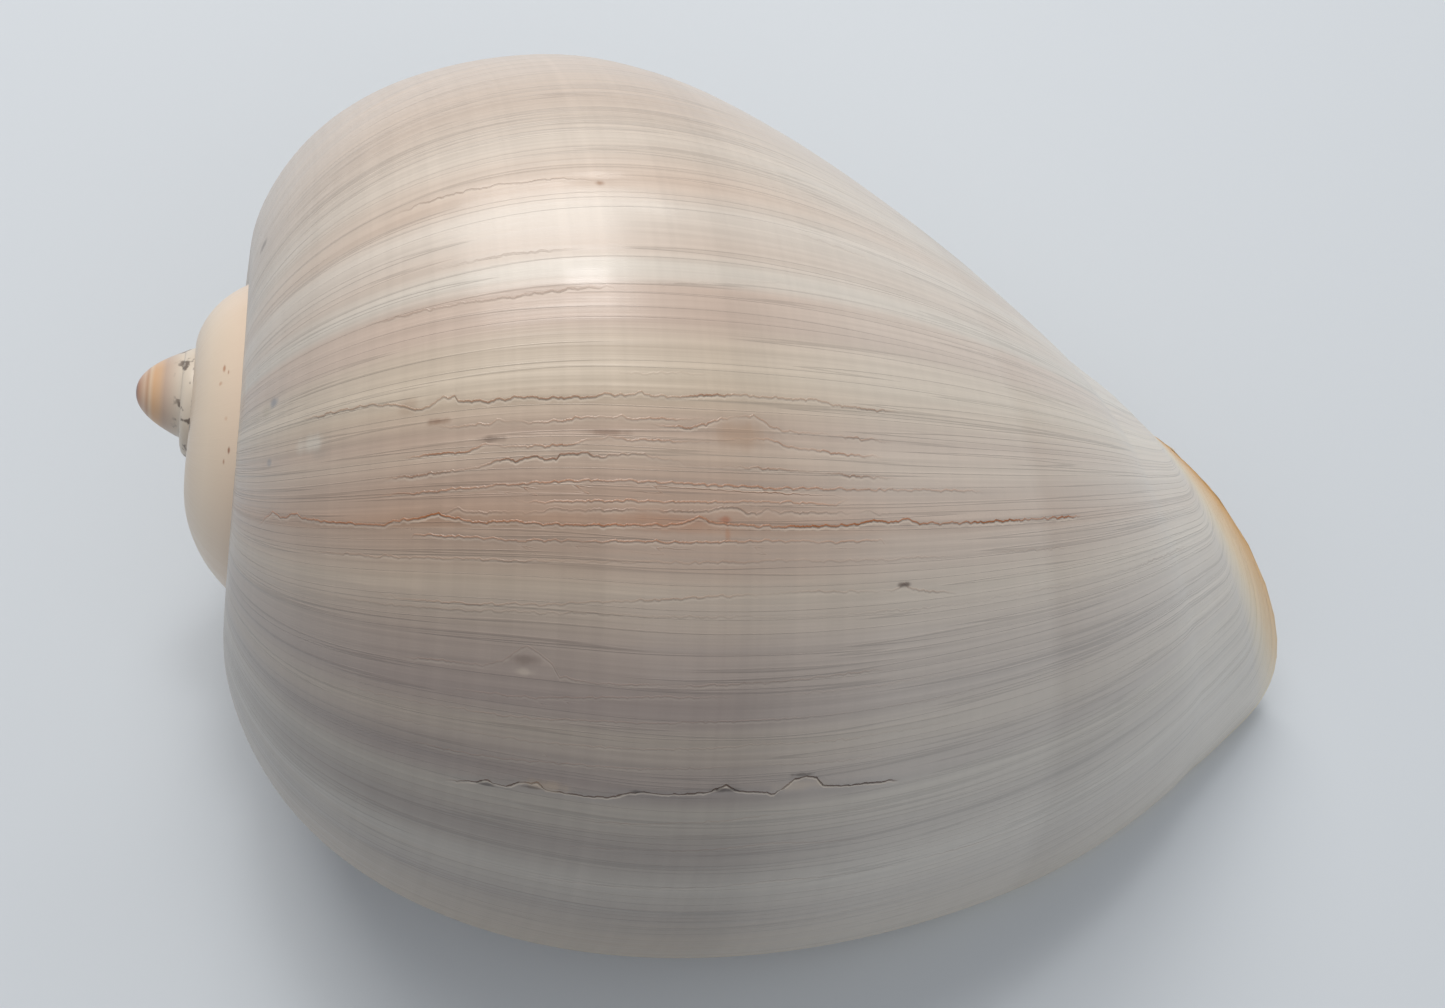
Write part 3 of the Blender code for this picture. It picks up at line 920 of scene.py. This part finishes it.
def strong_scar(place, strength, line, y):
    """The scar group fed from the curves of one strong scar."""
    first, last = line[0][0], line[-1][0]
    at = map_range(tree, along_value, first, last, 0.0, 1.0, (-1500, y), kind="LINEAR")
    curves = node(tree, "ShaderNodeRGBCurve", (-1300, y))
    set_curve(curves.mapping.curves[0],
              [((a - first) / (last - first), 0.5 + b / (2 * OFFSET_SPAN)) for a, b in line])
    wanted = np.linspace(0, 1, 3 + int((last - first) / STRENGTH_EVERY))
    power = scar_rng.normal(STRENGTH_MEAN, STRENGTH_SPREAD, len(wanted))
    power = np.clip(power, STRONG_LEAST if strength > STRONG_SCAR else STRENGTH_LEAST, 1.0)
    power[0] = power[-1] = 0.0
    set_curve(curves.mapping.curves[1], list(zip(wanted.tolist(), power.tolist())))
    curves.mapping.update()
    feed(tree, curves.inputs["Color"], at)
    split = node(tree, "ShaderNodeSeparateColor", (-1050, y))
    feed(tree, split.inputs[0], curves.outputs[0])
    offset_mm = math_node(tree, "MULTIPLY_ADD", (-900, y), split.outputs[0], 2 * OFFSET_SPAN, -OFFSET_SPAN)
    distance = math_node(tree, "SUBTRACT", (-1050, y - 150), growth_value, place)
    distance = math_node(tree, "MULTIPLY", (-900, y - 150), distance, radius_value)
    distance = math_node(tree, "SUBTRACT", (-750, y), distance, offset_mm)
    power_here = math_node(tree, "MULTIPLY", (-750, y - 150), split.outputs[1], strength)
    return scar(distance, power_here, (-450, y))


# %% All strong scars, one over the other
for number, (name, place, strength, rust, line) in enumerate(SCARS):
    y = -1200 - 300 * number
    one_height, one_gap_shade, one_rim_highlight = strong_scar(place, strength, line, y)
    one_rust = math_node(tree, "MULTIPLY", (-350, y - 200), one_gap_shade, rust)
    scar_height = math_node(tree, "ADD", (-200, y), scar_height, one_height)
    gap_shade_and_stain = math_node(tree, "MAXIMUM", (-200, y - 100), gap_shade_and_stain, one_gap_shade)
    rust_line = math_node(tree, "MAXIMUM", (-200, y - 200), rust_line, one_rust)
    rim_highlight = math_node(tree, "MAXIMUM", (-50, y), rim_highlight, one_rim_highlight)
print("strong scars", len(SCARS))

# %% The scars' colours: a pale rim first, which is painted highlight, then the gap, brown or rusty stain darkened as painted shadow
# The gap's brown is stain darkened with painted shadow, the rust is stain, and the rim's cream is a painted
# highlight.
GAP_BROWN_AND_SHADE = srgb(100, 76, 60)
GAP_RUST = srgb(166, 98, 46)
SCAR_RIM_HIGHLIGHT = srgb(226, 212, 194)
RIM_HIGHLIGHT_AMOUNT, GAP_SHADE_AMOUNT = 0.45, 0.95
rust_share = math_node(tree, "DIVIDE", (100, -700), rust_line,
                       math_node(tree, "ADD", (0, -700), gap_shade_and_stain, 0.01), clamp=True)
gap_stain_and_shade_colour = mix(tree, "MIX", rust_share, GAP_BROWN_AND_SHADE, GAP_RUST, (200, -700))
# Painted highlight on the pale rim of each newer edge.
rim_highlight_mask = math_node(tree, "MULTIPLY", (100, -500), rim_highlight, RIM_HIGHLIGHT_AMOUNT)
colour = mix(tree, "MIX", rim_highlight_mask, colour, SCAR_RIM_HIGHLIGHT, (250, 250))
# Painted shadow in each step's gap, with brown or rust stain in it.
gap_shade_and_stain_mask = math_node(tree, "MULTIPLY", (100, -600), gap_shade_and_stain, GAP_SHADE_AMOUNT)
colour = mix(tree, "MIX", gap_shade_and_stain_mask, colour, gap_stain_and_shade_colour, (300, 250))

# %% [markdown]
# ### The older whorl
# The collar between the spire's tip and the last whorl is older shell, plain cream and smoother. It
# begins a little less than one turn back from the lip, so one mask changes both colour and relief.

# %% The older whorl's colour: station and screen colour
OLD_WHORL_END, OLD_WHORL_START = -5.9, -5.4
OLD_WHORL_COLOURS = [(0.0, srgb(205, 190, 172)), (0.07, srgb(214, 196, 174)), (0.13, srgb(224, 206, 184)),
                     (0.22, srgb(226, 204, 182)), (0.30, srgb(212, 180, 152))]
old_mask = map_range(tree, growth_value, OLD_WHORL_END, OLD_WHORL_START, 1.0, 0.0, (-300, 700))
old_colour = ramp(tree, along_value, OLD_WHORL_COLOURS, (-300, 900))
colour = mix(tree, "MIX", old_mask, colour, old_colour, (500, 300))

# %% [markdown]
# ### Spots
# Worn chips, rust marks and dark specks, each at the place that it has in the photo. Along the dark strong
# scar, the thin dark spots are painted shadow in its gaps, and two pale ones are painted highlight on the
# newer edge below them. One group makes a soft oval mask from the distance to the spot's middle, with the
# jitter added so that no edge is a perfect ellipse.

# %% The spot group
CORE_SHARE, EDGE_SHARE = 0.2, 1.1
SPOT_SQUASH = 1.7
SPOT_JITTER = 0.8
spot_group, group_in, group_out = number_group(
    "wear_and_shade_spot", ("Growth", "Along", "Radius", "Jitter", "Place", "Station", "Size", "Stretch", "Amount"),
    ("Mask",))
give = group_in.outputs
across = math_node(spot_group, "SUBTRACT", (-600, 200), give["Growth"], give["Place"])
across = math_node(spot_group, "MULTIPLY", (-450, 200), across, give["Radius"])
down = math_node(spot_group, "SUBTRACT", (-600, 0), give["Along"], give["Station"])
down = math_node(spot_group, "MULTIPLY", (-450, 0), down, PROFILE_LENGTH / SPOT_SQUASH)
down = math_node(spot_group, "DIVIDE", (-300, 0), down, give["Stretch"])
away = math_node(spot_group, "ADD", (0, 100), math_node(spot_group, "POWER", (-150, 200), across, 2.0),
                 math_node(spot_group, "POWER", (-150, 0), down, 2.0))
away = math_node(spot_group, "SQRT", (150, 100), away)
uneven = math_node(spot_group, "MULTIPLY", (0, -100), give["Jitter"], SPOT_JITTER)
away = math_node(spot_group, "MULTIPLY_ADD", (300, 100), uneven, give["Size"], away)
mask = map_range(spot_group, away,
                 math_node(spot_group, "MULTIPLY", (300, -100), give["Size"], CORE_SHARE),
                 math_node(spot_group, "MULTIPLY", (300, -250), give["Size"], EDGE_SHARE),
                 give["Amount"], 0.0, (500, 0))
feed(spot_group, group_out.inputs["Mask"], mask)

# %% Spots: growth angle, station, size in mm, stretch along the line, strength, colour
SPOTS_WITH_PAINTED_LIGHT = [
    (-8.153, 0.168, 0.8, 1.1, 0.7, srgb(168, 106, 66)), (-8.11, 0.178, 0.5, 0.8, 0.6, srgb(160, 98, 56)),
    (-8.05, 0.160, 0.5, 2.2, 0.5, srgb(186, 132, 92)), (-7.60, 0.186, 0.75, 0.8, 0.8, srgb(140, 82, 48)),
    (-7.53, 0.176, 0.6, 0.7, 0.6, srgb(160, 100, 62)),
    (-7.80, 0.176, 0.5, 1.5, 0.35, srgb(196, 146, 104)), (-8.36, 0.045, 1.0, 1.6, 0.85, srgb(72, 56, 48)),
    (-8.10, 0.030, 0.7, 1.8, 0.7, srgb(110, 84, 68)), (-7.80, 0.045, 1.2, 1.6, 0.85, srgb(58, 50, 48)),
    (-7.55, 0.025, 0.8, 1.8, 0.7, srgb(96, 74, 62)), (-1.678, 0.107, 1.1, 1.0, 0.7, srgb(130, 134, 142)),
    (-1.66, 0.098, 1.3, 1.2, 0.5, srgb(176, 166, 150)),
    (-1.530, 0.150, 1.8, 1.4, 0.5, srgb(210, 206, 196)),
    (-1.500, 0.157, 1.2, 1.5, 0.35, srgb(160, 150, 140)),
    (-1.501, 0.107, 0.7, 1.0, 0.5, srgb(134, 138, 144)),
    (-1.352, 0.417, 0.7, 1.2, 0.6, srgb(158, 86, 44)), (-1.325, 0.419, 1.4, 0.3, 0.4, srgb(172, 110, 66)),
    (-2.012, 0.355, 0.9, 0.8, 0.7, srgb(150, 112, 84)), (-1.228, 0.543, 0.6, 2.0, 0.8, srgb(84, 68, 60)),
    (-1.080, 0.301, 1.1, 1.6, 0.45, srgb(98, 82, 72)),
    (-1.056, 0.301, 0.8, 1.4, 0.4, srgb(206, 192, 176)),
    (-1.57, 0.222, 1.6, 0.9, 0.3, srgb(160, 130, 106)), (-1.487, 0.276, 0.7, 2.6, 0.6, srgb(104, 84, 72)),
    (-1.495, 0.345, 0.6, 5.0, 0.55, srgb(122, 92, 74)), (-1.530, 0.242, 0.7, 2.2, 0.6, srgb(128, 92, 68)),
    (-1.50, 0.430, 2.6, 1.6, 0.32, srgb(164, 126, 92)),
    (-1.345, 0.385, 2.0, 3.5, 0.30, srgb(160, 104, 66)), (-2.40, 0.078, 1.3, 1.0, 0.6, srgb(96, 84, 78)),
    # From here: the thin dark spots are painted shadow in the gaps of the dark strong scar, and the two pale
    # cream ones are painted highlight on the newer edge below those gaps.
    (-0.847, 0.427, 0.8, 2.4, 0.7, srgb(60, 50, 46)), (-0.800, 0.284, 0.5, 2.6, 0.7, srgb(64, 54, 48)),
    (-0.812, 0.312, 0.5, 3.2, 0.75, srgb(60, 50, 46)), (-0.838, 0.375, 0.45, 3.0, 0.7, srgb(64, 54, 48)),
    (-0.872, 0.476, 0.5, 3.4, 0.6, srgb(70, 60, 52)), (-0.822, 0.318, 1.6, 2.2, 0.3, srgb(206, 180, 150)),
    (-0.845, 0.476, 1.5, 2.6, 0.35, srgb(204, 188, 168)),
]
for place, station, size, stretch, amount, paint in SPOTS_WITH_PAINTED_LIGHT:
    mask = use_group(tree, spot_group, (850, 1700), Growth=growth_value, Along=along_value,
                     Radius=radius_value, Jitter=jitter, Place=place, Station=station, Size=size,
                     Stretch=stretch, Amount=amount)["Mask"]
    colour = mix(tree, "MIX", mask, colour, paint, (1000, 1700))
print("spots", len(SPOTS_WITH_PAINTED_LIGHT))

# %% [markdown]
# ### Lip and front band
# The lip is the newest shell: clean cream, without lines. The band that runs round the front end is
# cream too and turns orange at its edge. Both are masks of a number on the mesh.

# %% The lip's rim and the band at the front end
RIM_CREAM = srgb(240, 222, 184)
RIM_ORANGE = srgb(236, 184, 116)
LIP_CLEAN, LIP_LINED = 0.3, 3.0
FRONT_BAND = [(0.0, 0), (0.925, 0), (0.955, 0.75), (1.0, 0.95)]
FRONT_BAND_COLOURS = [(0.0, RIM_CREAM), (0.94, RIM_CREAM), (0.99, RIM_ORANGE)]
lip_value = stored(tree, "from_lip", (100, 700))
rim_mask = map_range(tree, lip_value, LIP_CLEAN, LIP_LINED, 1.0, 0.0, (300, 700))
colour = mix(tree, "MIX", rim_mask, colour, RIM_CREAM, (700, 300))
band_mask = ramp(tree, along_value, [(place, grey(amount)) for place, amount in FRONT_BAND], (500, 900))
band_colour = ramp(tree, along_value, FRONT_BAND_COLOURS, (500, 1100))
colour = mix(tree, "MIX", band_mask, colour, band_colour, (900, 300))
feed(tree, principled.inputs["Base Color"], colour)

# %% [markdown]
# ### Gloss and relief of the outside
# Shell without its skin is half glossy, with a thin polish over it: a medium roughness that varies
# with the finest lines, and a weak coat. One Bump node adds the growth lines and the scars. Its
# distance is a millimetre, so the heights are in millimetres and look right at any size. The older
# whorl is worn smooth and gets hardly any of the lines.

# %% Gloss and relief of the outside
SHELL_IOR = 1.53
LINE_HEIGHT, OLD_LINE_LOSS = 0.10, -0.085
FINE_HEIGHT, HAIR_DEPTH, SCAR_HEIGHT = 0.6, -0.35, 0.36
GLOSS_RANGE = 0.32, 0.46
rough = map_range(tree, lines["Fine"], *NOISE_RANGE, *GLOSS_RANGE, (700, -100))
feed(tree, principled.inputs["Roughness"], rough)
principled.inputs["IOR"].default_value = SHELL_IOR
principled.inputs["Coat Weight"].default_value = 0.22
principled.inputs["Coat Roughness"].default_value = 0.15
height = math_node(tree, "MULTIPLY_ADD", (700, -400), lines["Fine"], FINE_HEIGHT, lines["Coarse"])
height = math_node(tree, "MULTIPLY_ADD", (850, -400), lines["Hair"], HAIR_DEPTH, height)
line_height = math_node(tree, "MULTIPLY_ADD", (800, -600), old_mask, OLD_LINE_LOSS, LINE_HEIGHT)
height = math_node(tree, "MULTIPLY", (950, -400), height, line_height)
height = math_node(tree, "MULTIPLY_ADD", (1000, -500), scar_height, SCAR_HEIGHT, height)
bump = node(tree, "ShaderNodeBump", (1100, -400))
bump.inputs["Strength"].default_value = 1.0
bump.inputs["Distance"].default_value = MM
feed(tree, bump.inputs["Height"], height)
feed(tree, principled.inputs["Normal"], bump.outputs[0])
print("nodes in the outside", len(tree.nodes))

# %% [markdown]
# ### Inside
# The inside of the mouth is smooth and glossy, cream at the lip with a warm orange depth. The pillar
# is paler. The same growth lines show through faintly, so their group is used again, drawn wider.

# %% The inside
INSIDE_DEPTH = -2.6
INSIDE_COLOURS = [(0.0, srgb(196, 136, 84)), (0.5, srgb(219, 178, 130)), (0.9, srgb(232, 212, 180)),
                  (1.0, RIM_ORANGE)]
PILLAR_CREAM = srgb(226, 208, 178)
PILLAR_EDGES, PILLAR_AMOUNT = (0.86, 0.93), 0.85
INSIDE_TONES = 0.94, 1.04
WIDER_LINES = 0.6
inside = bpy.data.materials.new("shell_inside")
inside.use_nodes = True
tree = inside.node_tree
principled = tree.nodes["Principled BSDF"]
growth_value = stored(tree, "growth", (-900, 200))
along_value = stored(tree, "along", (-900, 0))
depth = map_range(tree, growth_value, INSIDE_DEPTH, 0.0, 0.0, 1.0, (-700, 200))
colour = ramp(tree, depth, INSIDE_COLOURS, (-400, 200))
pillar_mask = map_range(tree, along_value, *PILLAR_EDGES, 0.0, PILLAR_AMOUNT, (-400, -50))
colour = mix(tree, "MIX", pillar_mask, colour, PILLAR_CREAM, (-150, 200))
lines = use_group(tree, lines_group, (-700, -300), Growth=growth_value, Along=along_value,
                  Fineness=WIDER_LINES)
inside_tone = map_range(tree, lines["Coarse"], *NOISE_RANGE, *INSIDE_TONES, (-500, -300))
colour = shade(tree, colour, inside_tone, (0, 200))
feed(tree, principled.inputs["Base Color"], colour)
principled.inputs["Roughness"].default_value = 0.2
principled.inputs["IOR"].default_value = SHELL_IOR
print("nodes in the inside", len(tree.nodes))

# %% [markdown]
# ### First whorl
# Orange-cream, with faint stripes round it and a dark worn tip: one ramp from its tip to its base.
# Dark specks sit in the groove at its base, a noise that only shows there.

# %% The first whorl
FIRST_COLOURS = [(0.0, srgb(70, 44, 32)), (0.10, srgb(112, 66, 46)), (0.22, srgb(176, 128, 100)),
                 (0.40, srgb(206, 178, 154)), (0.47, srgb(190, 152, 124)), (0.53, srgb(212, 186, 158)),
                 (0.60, srgb(210, 170, 132)), (0.70, srgb(206, 172, 140)), (0.78, srgb(190, 166, 148)),
                 (1.0, srgb(210, 198, 182))]
SPECK_BROWN = srgb(74, 58, 50)
SPECK_SCALE = 520.0
SPECK_LEVELS, SPECK_AMOUNT = (0.56, 0.66), 0.8
SPECKS_FROM = 0.86
first = bpy.data.materials.new("shell_first_whorl")
first.use_nodes = True
tree = first.node_tree
principled = tree.nodes["Principled BSDF"]
place = stored(tree, "along", (-900, 200))
colour = ramp(tree, place, FIRST_COLOURS, (-400, 200))
speck_at = node(tree, "ShaderNodeTexCoord", (-900, -200))
specks = node(tree, "ShaderNodeTexNoise", (-700, -200))
specks.inputs["Scale"].default_value = SPECK_SCALE
feed(tree, specks.inputs["Vector"], speck_at.outputs["Object"])
speck_mask = map_range(tree, specks.outputs["Fac"], *SPECK_LEVELS, 0.0, SPECK_AMOUNT, (-500, -200))
near_base = map_range(tree, place, SPECKS_FROM, 1.0, 0.0, 1.0, (-500, -400))
speck_mask = math_node(tree, "MULTIPLY", (-300, -300), speck_mask, near_base)
colour = mix(tree, "MIX", speck_mask, colour, SPECK_BROWN, (-100, 200))
feed(tree, principled.inputs["Base Color"], colour)
principled.inputs["Roughness"].default_value = 0.35
principled.inputs["IOR"].default_value = SHELL_IOR
print("nodes in the first whorl", len(tree.nodes))

# %% The three finishes on the mesh, in the order of their numbers
for material in (outside, inside, first):
    mesh.materials.append(material)
mesh.polygons.foreach_set("material_index", kinds.astype(np.int32))
print("materials", [material.name for material in mesh.materials])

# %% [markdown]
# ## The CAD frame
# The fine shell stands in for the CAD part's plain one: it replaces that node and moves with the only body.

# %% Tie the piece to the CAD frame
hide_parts("shell")
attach(shell, "root")

# %% [markdown]
# ## Stage, light and camera
# A plain pale floor, a large soft light above and behind with a strip and a small window near it that
# give the streaks of gloss, and a weak light from the front. The large light's size is what makes the
# shadows soft.

# %% The floor
FLOOR = 3.0
FLOOR_COLOUR = (0.62, 0.66, 0.70, 1)
FLOOR_ROUGHNESS = 0.9
floor_mesh = bpy.data.meshes.new("floor")
floor_mesh.from_pydata([(-FLOOR, -FLOOR, 0), (FLOOR, -FLOOR, 0), (FLOOR, FLOOR, 0), (-FLOOR, FLOOR, 0)],
                       [], [(0, 1, 2, 3)])
floor = bpy.data.objects.new("floor", floor_mesh)
bpy.context.scene.collection.objects.link(floor)
floor_material = bpy.data.materials.new("floor")
floor_material.use_nodes = True
floor_shader = floor_material.node_tree.nodes["Principled BSDF"]
floor_shader.inputs["Base Color"].default_value = FLOOR_COLOUR
floor_shader.inputs["Roughness"].default_value = FLOOR_ROUGHNESS
floor_mesh.materials.append(floor_material)


# %% The lights
def soft_light(name, place, size, power, colour):
    """An area light, its width and height in size, that looks at the shell."""
    data = bpy.data.lights.new(name, "AREA")
    data.shape = "RECTANGLE"
    data.size, data.size_y = size
    data.energy = power
    data.color = colour
    light = bpy.data.objects.new(name, data)
    light.location = place
    light.rotation_euler = (MIDDLE - Vector(place)).to_track_quat("-Z", "Y").to_euler()
    bpy.context.scene.collection.objects.link(light)


MIDDLE = Vector((0, 0, 0.06))
ROOM_COLOUR = (0.95, 0.965, 1.0, 1)
ROOM_STRENGTH = 0.38
soft_light("key", (-0.15, 0.55, 0.95), (0.62, 0.62), 6.3, (1.0, 0.97, 0.93))
soft_light("strip", (-0.03, 0.74, 0.66), (0.70, 0.07), 1.3, (1.0, 0.98, 0.95))
soft_light("window", (0.0, 0.41, 0.95), (0.14, 0.08), 0.8, (1.0, 1.0, 1.0))
soft_light("fill", (0.5, -1.0, 1.0), (1.0, 1.0), 2.8, (0.96, 0.98, 1.0))
world = bpy.data.worlds.new("room")
bpy.context.scene.world = world
world.use_nodes = True
room_light = world.node_tree.nodes["Background"]
room_light.inputs["Color"].default_value = ROOM_COLOUR
room_light.inputs["Strength"].default_value = ROOM_STRENGTH
print("lights", len(bpy.data.lights))

# %% [markdown]
# The camera stands where the photo was taken from. Its place, its direction and its lens were fitted
# from the outline of the shell in the photo.

# %% The camera, at the photo's place
CAMERA_PLACE = (-0.02018, -0.12014, 0.34801)
CAMERA_AZIMUTH = -7.182
CAMERA_ELEVATION = 67.907
CAMERA_ROLL = 5.514
LENS = 41.57
SENSOR = 36.0
azimuth, elevation = math.radians(CAMERA_AZIMUTH), math.radians(CAMERA_ELEVATION)
back = Vector((math.sin(azimuth) * math.cos(elevation), -math.cos(azimuth) * math.cos(elevation),
               math.sin(elevation)))
camera_data = bpy.data.cameras.new("camera")
camera_data.lens = LENS
camera_data.sensor_width = SENSOR
camera_data.clip_start = 0.01
camera = bpy.data.objects.new("camera", camera_data)
camera.matrix_world = (Matrix.Translation(CAMERA_PLACE)
                       @ back.to_track_quat("Z", "Y").to_matrix().to_4x4()
                       @ Matrix.Rotation(math.radians(CAMERA_ROLL), 4, "Z"))
bpy.context.scene.collection.objects.link(camera)
bpy.context.scene.camera = camera
bpy.context.scene.view_settings.view_transform = "Standard"
